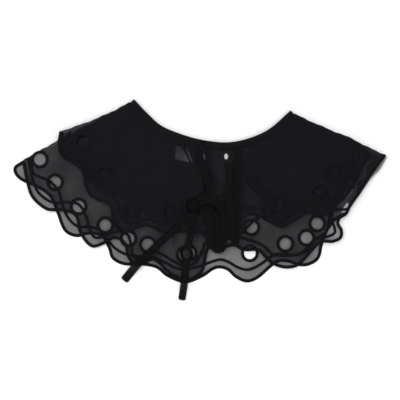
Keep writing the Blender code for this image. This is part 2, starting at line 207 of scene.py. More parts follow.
BACK_UPPER_HEM = Hem(
    edge=Trim(
        start=[Place(-187, 90)],
        waves=[
            Wave(-187, 80, -187, 72, -185, 64, -180, 58, -171, 54),
            Wave(-161, 47, -156, 36, -151, 25, -141, 17, -125, 12),
            Wave(-107, 3, -91, -3, -77, -14, -65, -29, -42, -33),
            Wave(-13, -27, 0, -29, 14, -37, 30, -40, 50, -30),
            Wave(67, -21, 80, -24, 93, -31, 107, -33, 130, -19),
            Wave(148, -9, 157, -10, 167, -11, 177, -9, 189, 10),
            Wave(198, 26, 202, 28, 207, 33, 211, 42, 216, 56),
        ],
        end=[Place(219, 68), Place(205, 80.5)],
    ),
    line=Trim(
        start=[Place(-175, 92)],
        waves=[
            Wave(-175, 83, -175, 76, -173, 71, -170, 68, -164, 65),
            Wave(-152, 56, -146, 44, -141, 35, -134, 29, -120, 23),
            Wave(-103, 14, -87, 8, -72, -2, -58, -15, -38, -19),
            Wave(-11, -17, 2, -18, 15, -23, 30, -25, 48, -18),
            Wave(66, -11, 79, -12, 92, -17, 105, -18, 126, -8),
            Wave(144, 1, 152, 2, 160, 2, 168, 4, 179, 18),
            Wave(189, 32, 193, 34, 197, 39, 200, 46, 204, 56),
        ],
        end=[Place(206, 66), Place(203, 82)],
    ),
    holes=[Place(-156, 76), Place(-123, 45), Place(-59, 3), Place(30, -5), Place(105, 4), Place(164, 19)]
    + [Place(187, 52)],
    stitched=1.0,
)
FRONT_LEFT_UPPER_HEM = Hem(
    edge=Trim(
        start=[Place(-188, 91)],
        waves=[
            Wave(-190, 79, -190, 70, -187, 60, -181, 54.5, -170, 48),
            Wave(-160, 40, -156, 30, -154, 18, -148, 6, -137, -1),
            Wave(-125, -5, -119.5, -11, -118, -23, -112, -38, -98, -44),
            Wave(-74, -35.5, -64, -37.5, -56, -41.5, -46, -45, -36, -45.5),
        ],
        end=[Place(-21, -43), Place(-1, -45), Place(6, -49)],
    ),
    line=Trim(
        start=[Place(-178, 88)],
        waves=[
            Wave(-180, 79, -179, 71, -175, 64, -169, 58, -161, 52),
            Wave(-150, 42, -146, 33, -143, 23, -137, 15, -128, 10),
            Wave(-116, 5, -110, -4, -108, -14, -102, -26, -92, -31),
            Wave(-72, -25.5, -62, -27.5, -54, -30.5, -45, -32, -36, -32),
        ],
        end=[Place(-21, -31), Place(-4, -33)],
    ),
    holes=[Place(-157, 78), Place(-129, 34), Place(-90, -13), Place(-40, -16)],
    stitched=1.0,
)
FRONT_RIGHT_UPPER_HEM = Hem(
    edge=Trim(
        start=[Place(61, 31), Place(68, 17), Place(77, 8), Place(84, 1), Place(86, -12)],
        waves=[
            Wave(86, -25, 91, -29.5, 98, -33, 107, -37, 118, -34),
            Wave(142, -19.5, 150, -20, 158, -21.5, 167, -22, 177, -15),
            Wave(186, -5, 192, 0, 198, 6, 205, 16, 211, 28),
        ],
        end=[Place(217, 41), Place(226, 61), Place(219, 72), Place(205, 80.5)],
    ),
    line=Trim(
        start=[Place(74, 34), Place(80, 20), Place(92, 10), Place(96, -6)],
        waves=[
            Wave(96, -15, 99, -19, 103, -22, 109, -23, 118, -20),
            Wave(142, -9, 149, -9, 156, -10, 163, -9, 171, -4),
            Wave(180, 4, 184, 8, 189, 13, 195, 22, 201, 34),
        ],
        end=[Place(206, 45), Place(213, 62), Place(204, 78)],
    ),
    holes=[Place(108, -5), Place(159, 10), Place(181, 37)],
    stitched=1.0,
)

# At the right side the back's hem is turned under: the fold, and the edge that lies inside it.
HEM_FOLD = [Place(248, 56), Place(228, 28), Place(216, 8), Place(203, -7)]
TURNED_EDGE = [Place(238, 53), Place(226, 46), Place(223, 33), Place(212, 22), Place(210, 8)]
TURNED_EDGE += [Place(202, -2)]

# Shares of the neck edge, from the left shoulder, at which sheets begin and end.
UNDER_START = 0.004
UNDER_END = 1 - UNDER_START
LEFT_FRONT_END = 0.455
RIGHT_FRONT_START = 0.475
RIGHT_UPPER_START = 0.705

# Soft ridges and troughs, most of them from the gathered neck towards the hem. Height is below zero for a
# trough, and the last column is how much more light the cloth stops there, or less where it is below zero:
# partly more cloth where it is gathered, and partly painted shade along the folds.
BACK_CREASES = [
    Crease(-92, 100, -196, 36, 0.45, 6, 0.05),
    Crease(-66, 82, -150, -10, -0.4, 7, 0.0),
    Crease(-30, 66, -60, -84, 0.5, 6, 0.04),
    Crease(8, 58, -6, -90, -0.4, 7, 0.0),
    Crease(52, 58, 74, -92, 0.45, 6, 0.04),
    Crease(84, 66, 130, -68, -0.4, 7, 0.0),
    Crease(104, 80, 178, -14, 0.45, 6, 0.04),
    Crease(-24, 70, -24, 54, 0.2, 14, 0.2),
    Crease(9, 72, 14, 12, 0.2, 6, 0.3),
    Crease(31, -2, 30, -34, 0.2, 8, 0.3),
    Crease(12, -14, 17, -46, 0.2, 9, 0.3),
]
LEFT_CREASES = [
    Crease(-90, 106, -206, 40, 0.4, 5, 0.05),
    Crease(-84, 92, -176, 2, -0.45, 6, 0.0),
    Crease(-66, 80, -128, -52, 0.45, 6, 0.05),
    Crease(-48, 70, -92, -70, -0.4, 5, 0.0),
    Crease(-36, 66, -60, -76, 0.5, 5, 0.06),
    Crease(-22, 60, -36, -60, 0.6, 3, 0.16),
    Crease(-15, 58, -24, -40, -0.5, 3, 0.0),
    Crease(-9, 56, -13, -60, 0.6, 3, 0.18),
    Crease(-2, 54, -3, -50, 0.5, 3, 0.2),
    Crease(-19, 70, -8, 52, 0.4, 1.8, -0.3),
    Crease(-15, 68, -6, 54, -0.4, 1.8, 0.2),
    Crease(-9, 66, -4, 56, 0.4, 1.8, -0.25),
]
RIGHT_CREASES = [
    Crease(50, 60, 50, -50, 0.6, 4, 0.22),
    Crease(60, -12, 57, -36, 0.3, 6, 0.2),
    Crease(58, 58, 62, -40, -0.4, 4, 0.05),
    Crease(73, 57, 98, 62, 0.5, 4, 0.12),
    Crease(88, 64, 122, -70, 0.45, 6, 0.03),
    Crease(112, 82, 176, -30, -0.45, 6, 0.0),
    Crease(122, 96, 214, 30, 0.4, 6, 0.04),
    Crease(175, 12, 176, -18, 0.5, 2.5, 0.12),
    Crease(150, -14, 198, -12, 0.4, 3, 0.12),
    Crease(203, 8, 230, 52, 0.4, 9, 0.16),
    Crease(222, 66, 240, 57, 0.3, 12, 0.3),
    Crease(216, 20, 232, 46, -0.3, 2.5, -0.12),
    Crease(180, -30, 184, -54, 0.2, 10, -0.2),
    Crease(40, -53, 33, -63, 0.2, 4, -0.35),
]

# Every sheet from the table up, with the stretch of the neck edge that it takes, the sheets that it lies on
# and how far its left and right edges bow outwards.
CLOTHS = [
    Cloth("back_upper", BACK_UPPER_HEM, 0, 1, BACK_CREASES, [], -3, -1),
    Cloth("back_under", BACK_UNDER_HEM, UNDER_START, UNDER_END, BACK_CREASES, ["back_upper"], 1, 0),
    Cloth(
        "front_right_under", FRONT_RIGHT_UNDER_HEM, RIGHT_FRONT_START, UNDER_END, RIGHT_CREASES,
        ["back_under"], 0, 0,
    ),
    Cloth(
        "front_left_under", FRONT_LEFT_UNDER_HEM, UNDER_START, LEFT_FRONT_END, LEFT_CREASES,
        ["back_under"], 1, 0,
    ),
    Cloth(
        "front_right_upper", FRONT_RIGHT_UPPER_HEM, RIGHT_UPPER_START, 1, RIGHT_CREASES,
        ["front_right_under"], 0, -1,
    ),
    Cloth(
        "front_left_upper", FRONT_LEFT_UPPER_HEM, 0, LEFT_FRONT_END, LEFT_CREASES,
        ["front_left_under"], -3, 0,
    ),
]

# Each front sheet and its turn at the shoulder: -1 is the left side and 1 the right one. The under tier's
# turns have no solid of their own.
TURNS = {
    "front_left_under": Turn("under_turn_left", "back_under", -1, None),
    "front_right_under": Turn("under_turn_right", "back_under", 1, None),
    "front_left_upper": Turn("upper_turn_left", "back_upper", -1, "upper_tier_left_turn"),
    "front_right_upper": Turn("upper_turn_right", "back_upper", 1, "upper_tier_right_turn"),
}

# The slit behind the tie opens a little, and beside it the gathers part in two narrow streaks.
KEYHOLE = [Place(-32, 73.5), Place(-25, 71), Place(-21, 64), Place(-14, 50), Place(-34, 54)]
STREAKS = [
    [Place(-19.5, 70), Place(-17.5, 70.5), Place(-9.8, 51), Place(-11.4, 49.8)],
    [Place(4.2, 62.5), Place(6.6, 60.5), Place(7.4, 55), Place(5.2, 53)],
]
KEYHOLE_IN = ("back_upper", "front_left_under", "front_left_upper")

# The small oval eyelet at the neck, which the ribbon would pass.
EYELET = Place(35, 58)
EYELET_SIZE = (5.0, 8.0)
EYELET_IN = ("back_upper", "back_under", "front_right_under")

# Where the hems cross beside the turned hem, they leave two gaps.
HEM_GAPS = [
    [Place(197, -4), Place(200.5, -7.5), Place(199, -11.5), Place(191.5, -11.5)],
    [Place(189, -17.5), Place(190.5, -15), Place(197, -13.7), Place(195, -16.6)],
]
HEM_GAPS_IN = ("back_under", "front_right_under")

# The right front's last hole shows in part, and two more stitched lines cross its pleats.
PART_HOLE = [Place(195, 1), Place(195.5, 6), Place(198.5, 11.5), Place(203, 14.5), Place(206.5, 14.5)]
PART_HOLE += [Place(203.5, 9), Place(199, 4)]
PLEAT_LINES = [
    [Place(55, -45), Place(61, -39.5), Place(67, -33), Place(73, -27), Place(80, -24)],
    [Place(150, -14), Place(160, -12.6), Place(171, -11.6), Place(186, -13.4), Place(200, -12.4)],
]
PLEATS_IN = "front_right_under"

# The middle line of each stretch of ribbon, from the neck or the knot outwards.
RIBBON_STRETCHES = {
    "ribbon_neck_right": [(50, 66), (49.4, 44), (50, 10), (50.4, -20), (48.8, -44), (47, -60)],
    "ribbon_loop_middle": [(0, -7), (10, -10), (20, -24), (24, -46), (25, -72)],
    "ribbon_neck_left": [(-2, 66), (0, 52), (7, 34), (13, 18), (9, 6), (-2, 2)],
    "ribbon_loop_left": [(1, -13), (8, -18), (12.5, -34), (12.5, -52), (15, -67)],
    "ribbon_loop_right": [(-2, -2), (12, -1), (26, -8), (32, -26), (32, -48), (30.5, -69)],
    "ribbon_neck_middle": [(38, 49), (39.2, 30), (39.5, 4), (41.5, -22), (41, -54)],
    "ribbon_tail_slanted": [(-15, -18), (-24, -30), (-39, -44), (-70, -73), (-85, -88), (-102.2, -108.8)],
    "ribbon_tail_straight": [(-11, -18), (-12, -44), (-16, -62), (-19, -84), (-21, -110), (-24.4, -135)],
}

# How far from its end a loop or a cut tail starts to get rounder, and the share of its width at the end.
LOOP_END = (9.0, 0.2)
TAIL_END = (2.2, 0.55)

# How much wider the ribbon gets where it is crushed open, and over what length.
SPREADS = {"ribbon_loop_middle": (2.0, 55.0), "ribbon_tail_slanted": (1.12, 126.0)}

# Places across the ribbon, as shares of half its width, and how much its woven edges rise there.
RIBBON_SECTION = [(-1, 0.22), (-0.92, 0.3), (-0.8, 0.05), (-0.4, 0), (0, 0), (0.4, 0), (0.8, 0.05)]
RIBBON_SECTION += [(0.92, 0.3), (1, 0.22)]

# The knot without the ridges of its wraps, and how far its upper face leans to the right.
KNOT_SIZE = (15.0, 17.86, 5.7)
KNOT_LEAN = 0.9

# The part of the table that the picture takes in.
PICTURE_WIDTH = 537.6
PICTURE_MIDDLE = Place(0, -0.4)


# Lines and outlines


def smooth_line(points, spacing):
    """Points about spacing apart on a smooth curve through the given ones."""
    knots = np.array(points, float)
    ahead = np.vstack([knots[1:], 2 * knots[-1] - knots[-2]])
    behind = np.vstack([2 * knots[0] - knots[1], knots[:-1]])
    lean = ahead - behind
    lean /= np.linalg.norm(lean, axis=1)[:, None]
    line = [knots[:1]]
    for i in range(len(knots) - 1):
        chord = np.linalg.norm(knots[i + 1] - knots[i])
        t = np.linspace(0, 1, max(1, round(chord / spacing)) + 1)[1:, None]
        line.append(
            (2 * t**3 - 3 * t**2 + 1) * knots[i]
            + (t**3 - 2 * t**2 + t) * chord * lean[i]
            + (3 * t**2 - 2 * t**3) * knots[i + 1]
            + (t**3 - t**2) * chord * lean[i + 1]
        )
    return np.vstack(line)


def side_line(neck, hem, bow, side):
    """A sheet's edge from the neck to the hem, bowed outwards; side is 1 on the right, -1 on the left."""
    run = hem - neck
    length = np.linalg.norm(run)
    t = np.linspace(0, 1, max(2, round(length / EDGE_STEP)) + 1)[:, None]
    out = side * np.array([-run[1], run[0]]) / length
    return neck + t * run + 4 * bow * t * (1 - t) * out


def shares(line):
    """How far along the line each of its points is, from 0 to 1."""
    steps = np.linalg.norm(np.diff(line, axis=0), axis=1)
    return np.concatenate([[0], np.cumsum(steps)]) / steps.sum()


def spaced(line, spacing):
    """The same line with its points evenly spaced."""
    length = np.linalg.norm(np.diff(line, axis=0), axis=1).sum()
    at = np.linspace(0, 1, max(2, round(length / spacing)) + 1)
    return np.column_stack([np.interp(at, shares(line), line[:, k]) for k in range(line.shape[1])])


def heading(line):
    """The direction of the line at each of its points."""
    way = np.gradient(line, axis=0)
    return way / np.linalg.norm(way, axis=1)[:, None]


def moved_in(line, distance):
    """The line moved to the side on which the neck lies, when it runs from left to right."""
    way = heading(line)
    return line + distance * np.column_stack([-way[:, 1], way[:, 0]])


def trim_line(trim, spacing):
    """A scalloped line from its left end to its right one."""
    points = list(trim.start)
    for wave in trim.waves:
        points += [Place(*wave[i : i + 2]) for i in range(0, len(wave), 2)]
    return spaced(smooth_line(points + trim.end, 0.5 * spacing), spacing)


def hem_line(hem):
    """The scalloped edge."""
    return trim_line(hem.edge, EDGE_STEP)


def neck_line(at, inset):
    """Points at the given shares of the neck edge, moved into the cloth by inset."""
    edge = smooth_line(NECK, EDGE_STEP)
    inner = moved_in(edge, -inset)
    along = shares(edge)
    return np.column_stack([np.interp(at, along, inner[:, k]) for k in (0, 1)])


def round_line(x, y, across, along, spacing=1.0):
    """A closed oval."""
    turn = np.linspace(0, 2 * math.pi, max(12, round(math.pi * (across + along) / spacing)), endpoint=False)
    return np.column_stack([x + across * np.cos(turn), y + along * np.sin(turn)])


def inside(places, outline):
    """True for the places that the closed outline goes round."""
    x, y = places[..., 0], places[..., 1]
    found = np.zeros(x.shape, bool)
    for (x0, y0), (x1, y1) in zip(outline, np.roll(outline, -1, axis=0)):
        if y0 != y1:
            crosses = (y0 > y) != (y1 > y)
            found ^= crosses & (x < x0 + (y - y0) * (x1 - x0) / (y1 - y0))
    return found


def clear_of(places, line, distance):
    """True for the places that are further than distance from every point of the line."""
    gap = np.full(len(places), np.inf)
    for point in line:
        gap = np.minimum(gap, ((places - point) ** 2).sum(axis=1))
    return gap > distance**2


# Heights


class Ground:
    """The upper face of a solid or a sheet, to read heights from. Walls and undersides are left out."""

    def __init__(self, thing):
        mesh = thing.data
        faces = [tuple(face.vertices) for face in mesh.polygons if face.normal.z > 0.2]
        self.tree = BVHTree.FromPolygons([vertex.co for vertex in mesh.vertices], faces)

    def heights(self, places):
        """The height at each place, in millimetres, or that of the nearest place on the face."""
        far_above, near_table = 0.1, 0.004
        found = []
        for x, y in places:
            spot = self.tree.ray_cast(Vector((x * MM, y * MM, far_above)), Vector((0, 0, -1)))[0]
            if spot is None:
                spot = self.tree.find_nearest(Vector((x * MM, y * MM, near_table)))[0]
            found.append(spot.z / MM)
        return np.array(found)


def crease_shares(places, crease):
    """How much of the crease there is at each place, from 0 to 1."""
    start = np.array([crease.x0, crease.y0])
    run = np.array([crease.x1, crease.y1]) - start
    along = (places - start) @ run / (run @ run)
    off = np.linalg.norm(places - start - along.clip(0, 1)[:, None] * run, axis=1)
    # A crease is up to a quarter wider or narrower along its run.
    uneven = 1 + 0.25 * np.sin(5 * along + crease.x0)
    return np.exp(-((off / (crease.width * uneven)) ** 2))


# Materials


def tone(code):
    """A colour given as it looks on a screen, in the renderer's own scale."""
    parts = [int(code[i : i + 2], 16) / 255 for i in (1, 3, 5)]
    return (*(p / 12.92 if p <= 0.04045 else ((p + 0.055) / 1.055) ** 2.4 for p in parts), 1.0)


def add(tree, kind, inputs=(), **settings):
    """A node with its settings and its inputs, each a value or another node's output."""
    made = tree.nodes.new(kind)
    for name, value in settings.items():
        setattr(made, name, value)
    for name, value in dict(inputs).items():
        if isinstance(value, bpy.types.NodeSocket):
            tree.links.new(value, made.inputs[name])
        else:
            made.inputs[name].default_value = value
    return made


def blank(name):
    """A new material, its node tree and its shader."""
    material = bpy.data.materials.new(name)
    material.use_nodes = True
    tree = material.node_tree
    return material, tree, tree.nodes["Principled BSDF"]


def organza():
    """Sheer black organza: plain weave of fine twisted threads, about 3 to the millimetre.

    Light passes between the threads, so a single layer is grey over the table and four are black. The
    threads are too fine to show, so their gaps are drawn as an even share of clear cloth.
    """
    material, tree, shader = blank("black organza")
    spot = add(tree, "ShaderNodeTexCoord").outputs["Object"]
    scale = WAVE_REPEAT / (ORGANZA_PITCH * MM)
    warp = add(tree, "ShaderNodeTexWave", {"Vector": spot, "Scale": scale}, bands_direction="X")
    weft = add(tree, "ShaderNodeTexWave", {"Vector": spot, "Scale": scale}, bands_direction="Y")
    weave = add(
        tree, "ShaderNodeMath", {0: warp.outputs["Fac"], 1: weft.outputs["Fac"]}, operation="MAXIMUM"
    )
    bump = add(
        tree, "ShaderNodeBump", {"Height": weave.outputs[0], "Strength": 0.15, "Distance": 0.05 * MM}
    )
    shader.inputs["Base Color"].default_value = tone("#131316")
    shader.inputs["Roughness"].default_value = 0.55
    shader.inputs["Specular IOR Level"].default_value = 0.06
    shader.inputs["Sheen Weight"].default_value = 0.03
    shader.inputs["Sheen Roughness"].default_value = 0.4
    tree.links.new(bump.outputs["Normal"], shader.inputs["Normal"])
    # How close the threads lie, a little uneven over about 26 mm. More light is stopped in the gathers, the
    # shoulder turns and under the upper tier's holes, and in the folds, where it is painted shade.
    uneven = add(tree, "ShaderNodeTexNoise", {"Vector": spot, "Scale": 1 / (26 * MM), "Detail": 2.0})
    least, most = ORGANZA_COVER
    cover = add(
        tree,
        "ShaderNodeMapRange",
        {"Value": uneven.outputs["Fac"], "From Min": 0.3, "From Max": 0.7, "To Min": least, "To Max": most},
    )
    dense = add(tree, "ShaderNodeAttribute", attribute_name="dense")
    parts = {0: cover.outputs[0], 1: dense.outputs["Fac"]}
    full = add(tree, "ShaderNodeMath", parts, operation="ADD", use_clamp=True)
    clear = add(tree, "ShaderNodeBsdfTransparent")
    mixed = add(
        tree, "ShaderNodeMixShader", {0: full.outputs[0], 1: clear.outputs[0], 2: shader.outputs[0]}
    )
    tree.links.new(mixed.outputs[0], tree.nodes["Material Output"].inputs["Surface"])
    return material


def threads(name, colour, pitch, depth, roughness, gloss, slant=0.0, cover=1.0):
    """Thread or cloth with ridges across its length, pitch apart and depth deep in millimetres."""
    material, tree, shader = blank(name)
    along = add(tree, "ShaderNodeTexCoord").outputs["UV"]
    turned = add(tree, "ShaderNodeMapping", {"Vector": along, "Rotation": (0, 0, slant)})
    ridges = add(
        tree,
        "ShaderNodeTexWave",
        {"Vector": turned.outputs[0], "Scale": WAVE_REPEAT / (pitch * MM), "Distortion": 0.6, "Detail": 1.0},
        bands_direction="X",
        wave_profile="SIN",
    )
    bump = add(
        tree, "ShaderNodeBump", {"Height": ridges.outputs["Fac"], "Strength": 0.5, "Distance": depth * MM}
    )
    shader.inputs["Base Color"].default_value = tone(colour)
    shader.inputs["Roughness"].default_value = roughness
    shader.inputs["Specular IOR Level"].default_value = gloss
    shader.inputs["Alpha"].default_value = cover
    tree.links.new(bump.outputs["Normal"], shader.inputs["Normal"])
    return material


# Meshes


def mesh_object(name, points, faces, material, uv=None):
    """A piece of the collar from points in millimetres, which moves with the part."""
    mesh = bpy.data.meshes.new(name)
    mesh.from_pydata((np.asarray(points) * MM).tolist(), [], [tuple(map(int, f)) for f in faces])
    if uv is not None:
        layer = mesh.uv_layers.new(name="along")
        corners = np.zeros(len(mesh.loops), int)
        mesh.loops.foreach_get("vertex_index", corners)
        layer.data.foreach_set("uv", (np.asarray(uv)[corners] * MM).ravel())
    mesh.shade_smooth()
    mesh.materials.append(material)
    piece = bpy.data.objects.new(name, mesh)
    bpy.context.scene.collection.objects.link(piece)
    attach(piece, "root")
    return piece


def grid_faces(rows, columns, closed=False):
    """The faces between rows of points, each row joined to itself if closed."""
    faces = []
    for row in range(rows - 1):
        here, there = row * columns, (row + 1) * columns
        for j in range(columns if closed else columns - 1):
            k = (j + 1) % columns
            faces.append((here + j, here + k, there + k, there + j))
    return faces


def tube_faces(rings, sides, joined=False):
    """The faces of a tube, capped at both ends or with its last ring joined to its first."""
    faces = grid_faces(rings, sides, closed=True)
    last = (rings - 1) * sides
    if joined:
        return faces + [(last + k, last + (k + 1) % sides, (k + 1) % sides, k) for k in range(sides)]
    return faces + [tuple(reversed(range(sides))), tuple(range(last, last + sides))]


def squarer(value, power):
    """A sine or cosine that turns a circle into a rounded box when power is below 1."""
    return math.copysign(abs(value) ** power, value)


def set_dense_and_shade(piece, dense):
    """How much more light than usual a piece of organza stops, at each of its points."""
    layer = piece.data.attributes.new("dense", "FLOAT", "POINT")
    layer.data.foreach_set("value", np.asarray(dense, np.float32))


def cloth_outline(row):
    """The cut edge of a sheet: neck, right side, hem, left side."""
    at = np.linspace(row.neck_from, row.neck_to, round(NECK_STEPS * (row.neck_to - row.neck_from)))
    upper = neck_line(at, BINDING_WIDTH - TUCK)
    lower = hem_line(row.hem)
    right = side_line(upper[-1], lower[-1], row.bow_right, 1)
    left = side_line(upper[0], lower[0], row.bow_left, -1)
    return np.vstack([upper, right[1:-1], lower[::-1], left[-2:0:-1]])


def cloth_holes(row):
    """The cut edges inside a sheet."""
    holes = [round_line(*place, HOLE_RADIUS, HOLE_RADIUS) for place in row.hem.holes]
    if row.part in EYELET_IN:
        holes.append(round_line(EYELET.x, EYELET.y, EYELET_SIZE[0] / 2, EYELET_SIZE[1] / 2))
    if row.part in KEYHOLE_IN:
        holes += [np.array(gap, float) for gap in [KEYHOLE] + STREAKS]
    if row.part in HEM_GAPS_IN:
        holes += [np.array(gap, float) for gap in HEM_GAPS]
    if row.part == PLEATS_IN:
        holes.append(np.array(PART_HOLE, float))
    return holes


def plan_area(outline, holes):
    """The flat area of the cut, in square metres."""
    total = 0.0
    for loop, sign in [(outline, 1)] + [(hole, -1) for hole in holes]:
        x, y = loop[:, 0], loop[:, 1]
        total += sign * abs((x * np.roll(y, -1) - y * np.roll(x, -1)).sum()) / 2
    return total * MM**2


def fill_plan(outline, holes):
    """Evenly sized triangles that fill the outline and leave the holes open."""
    loops = [outline] + holes
    low, high = outline.min(axis=0), outline.max(axis=0)
    x, y = np.meshgrid(
        np.arange(low[0], high[0], CLOTH_STEP), np.arange(low[1], high[1], CLOTH_STEP * math.sqrt(3) / 2)
    )
    x[1::2] += CLOTH_STEP / 2
    lattice = np.column_stack([x.ravel(), y.ravel()])
    keep = inside(lattice, outline)
    for hole in holes:
        keep &= ~inside(lattice, hole)
    lattice = lattice[keep]
    # Points too near to a cut edge would make slivers.
    for loop in loops:
        lattice = lattice[clear_of(lattice, loop, 0.6 * CLOTH_STEP)]
    points, edges = [], []
    for loop in loops:
        first, count = len(points), len(loop)
        points += [tuple(p) for p in loop]
        edges += [(first + i, first + (i + 1) % count) for i in range(count)]
    points += [tuple(p) for p in lattice]
    filled = delaunay_2d_cdt([Vector(p) for p in points], edges, [], 0, 1e-6)
    places = np.array([tuple(p) for p in filled[0]])
    faces = np.array(filled[2])
    middles = places[faces].mean(axis=1)
    shown = inside(middles, outline)
    for hole in holes:
        shown &= ~inside(middles, hole)
    faces = faces[shown]
    # Every face looks up, and faces without area go.
    a, b, c = (places[faces[:, k]] for k in range(3))
    cross = (b[:, 0] - a[:, 0]) * (c[:, 1] - a[:, 1]) - (b[:, 1] - a[:, 1]) * (c[:, 0] - a[:, 0])
    faces[cross < 0] = faces[cross < 0][:, ::-1]
    return places, faces[np.abs(cross) > 1e-9]


def settled(heights, faces, rounds=10):
    """Heights smoothed over neighbouring points, as cloth spans small steps."""
    pairs = np.vstack([faces[:, [0, 1]], faces[:, [1, 2]], faces[:, [2, 0]]])
    pairs = np.unique(np.sort(pairs, axis=1), axis=0)
    count = np.bincount(pairs.ravel(), minlength=len(heights)).clip(1)
    for _ in range(rounds):
        total = np.bincount(pairs[:, 0], heights[pairs[:, 1]], len(heights))
        total += np.bincount(pairs[:, 1], heights[pairs[:, 0]], len(heights))
        heights = 0.5 * heights + 0.5 * total / count
    return heights


def lay_cloth(row, material):
    """One sheet of organza on its solid's form, with its creases."""
    outline, holes = cloth_outline(row), cloth_holes(row)
    places, faces = fill_plan(outline, holes)
    node = row.part + "_tier"
    heights = settled(Ground(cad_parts[node]).heights(places), faces) - WALL / 2
    dense = np.zeros(len(places))
    # Creases lift the cloth and stop more light: more cloth in the gathers, and painted shade along the
    # folds.
    for crease in row.creases:
        there = crease_shares(places, crease)
        heights += crease.height * there
        dense += crease.dense * there
    # The upper tier's holes hardly show in the photo, so the under tier is denser at them.
    if "under" in row.part:
        veil = np.zeros(len(places))
        for hem in (BACK_UPPER_HEM, FRONT_LEFT_UPPER_HEM, FRONT_RIGHT_UPPER_HEM):
            for place in hem.holes:
                off = ((places - place) ** 2).sum(axis=1)
                veil = np.maximum(veil, np.exp(-off / HOLE_RADIUS**2))
        dense += HOLE_VEIL * veil
    points = np.column_stack([places, heights.clip(LOWEST)])
    piece = mesh_object(row.part + "_cloth", points, faces, material, places)
    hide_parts(node)
    set_dense_and_shade(piece, dense)
    size = (outline.max(axis=0) - outline.min(axis=0)) * MM
    return piece, size, plan_area(outline, holes)


def satin_stitch(name, lines, ground, material):
    """Satin stitch, rounded on both faces of the cloth, along each line, which is closed or has two ends."""
    sides, round_step = STITCH_SIDES, 0.4
    turn = np.arange(sides) * 2 * math.pi / sides
    points, faces, uv = [], [], []
    for line, closed, half_width in lines:
        line = spaced(np.vstack([line, line[:1]]) if closed else line, STITCH_STEP)
        line = line[:-1] if closed else line
        heights = ground.heights(line)
        way = heading(np.vstack([line[-1:], line, line[:1]]))[1:-1] if closed else heading(line)
        side = np.column_stack([-way[:, 1], way[:, 0]])
        along = np.arange(len(line)) * STITCH_STEP
        ring = []
        for k in range(sides):
            out = line + half_width * math.cos(turn[k]) * side
            ring.append(np.column_stack([out, heights + STITCH_HALF_HEIGHT * math.sin(turn[k])]))
        first, count = len(points), len(line)
        points += list(np.stack(ring, axis=1).reshape(-1, 3))
        uv += [(along[i], k * round_step) for i in range(count) for k in range(sides)]
        faces += [tuple(first + v for v in face) for face in tube_faces(count, sides, joined=closed)]
    return mesh_object(name, points, faces, material, uv)


def stitch_cloth(row, piece, material):
    """The satin stitch of one sheet: on its hem, along it further in, and round each hole."""
    edge = moved_in(trim_line(row.hem.edge, STITCH_STEP), HEM_STITCH_IN)
    lines = [
        (edge[: round(row.hem.stitched * len(edge))], False, HEM_STITCH),
        (trim_line(row.hem.line, STITCH_STEP), False, LINE_STITCH),
    ]
    if row.part == PLEATS_IN:
        lines += [(smooth_line(line, STITCH_STEP), False, LINE_STITCH) for line in PLEAT_LINES]
    radius = HOLE_RADIUS + RING_STITCH_OUT
    lines += [(round_line(*place, radius, radius), True, RING_STITCH) for place in row.hem.holes]
    return satin_stitch(row.part + "_stitching", lines, Ground(piece), material)


def turned_hem(material):
    """The strip of the back's hem that is turned under at the right side."""
    rows, spacing = 6, 2.0
    node = "back_under_tier_turned_hem"
    fold = spaced(smooth_line(HEM_FOLD, EDGE_STEP), spacing)
    edge = smooth_line(TURNED_EDGE, EDGE_STEP)
    at = shares(fold)
    edge = np.column_stack([np.interp(at, shares(edge), edge[:, k]) for k in (0, 1)])
    t = np.linspace(0, 1, rows)[:, None, None]
    places = (fold + t * (edge - fold)).reshape(-1, 2)
    points = np.column_stack([places, Ground(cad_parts[node]).heights(places) - WALL / 2])
    piece = mesh_object("turned_hem_cloth", points, grid_faces(rows, len(fold)), material, places)
    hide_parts(node)
    return piece


def shoulder_turn(turn, back, front, material):
    """The cloth where a tier turns over at a shoulder, from its back sheet round to its front one."""
    side = turn.side
    edges = []
    for row, piece in (back, front):
        at = (row.neck_from, row.neck_to)[side > 0]
        corner = neck_line(at, BINDING_WIDTH - TUCK).ravel()
        hem = hem_line(row.hem)[(0, -1)[side > 0]]
        bow = (row.bow_left, row.bow_right)[side > 0]
        line = spaced(side_line(corner, hem, bow, side), EDGE_STEP)
        edges.append((line, Ground(piece).heights(line)))
    (low, low_z), (high, high_z) = edges
    count = min(len(low), len(high))
    low, low_z, high, high_z = low[:count], low_z[:count], high[:count], high_z[:count]
    way = heading(high)
    out = side * np.column_stack([-way[:, 1], way[:, 0]])
    along = np.arange(count) * EDGE_STEP
    # The gathers make the turn bulge unevenly.
    bulge = TURN_BULGE * (1 + 0.3 * np.sin(along / 5.3) + 0.2 * np.sin(along / 2.1 + 1))
    rows = []
    for share in np.linspace(0, 1, TURN_STEPS):
        places = low + share * (high - low) + (bulge * math.sin(math.pi * share))[:, None] * out
        rows.append(np.column_stack([places, low_z + share * (high_z - low_z)]))
    points = np.stack(rows).reshape(-1, 3)
    faces = grid_faces(TURN_STEPS, count)
    piece = mesh_object(turn.name, points, faces, material, points[:, :2])
    set_dense_and_shade(piece, np.full(len(points), TURN_DENSE))
    if turn.node:
        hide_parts(turn.node)
    return piece


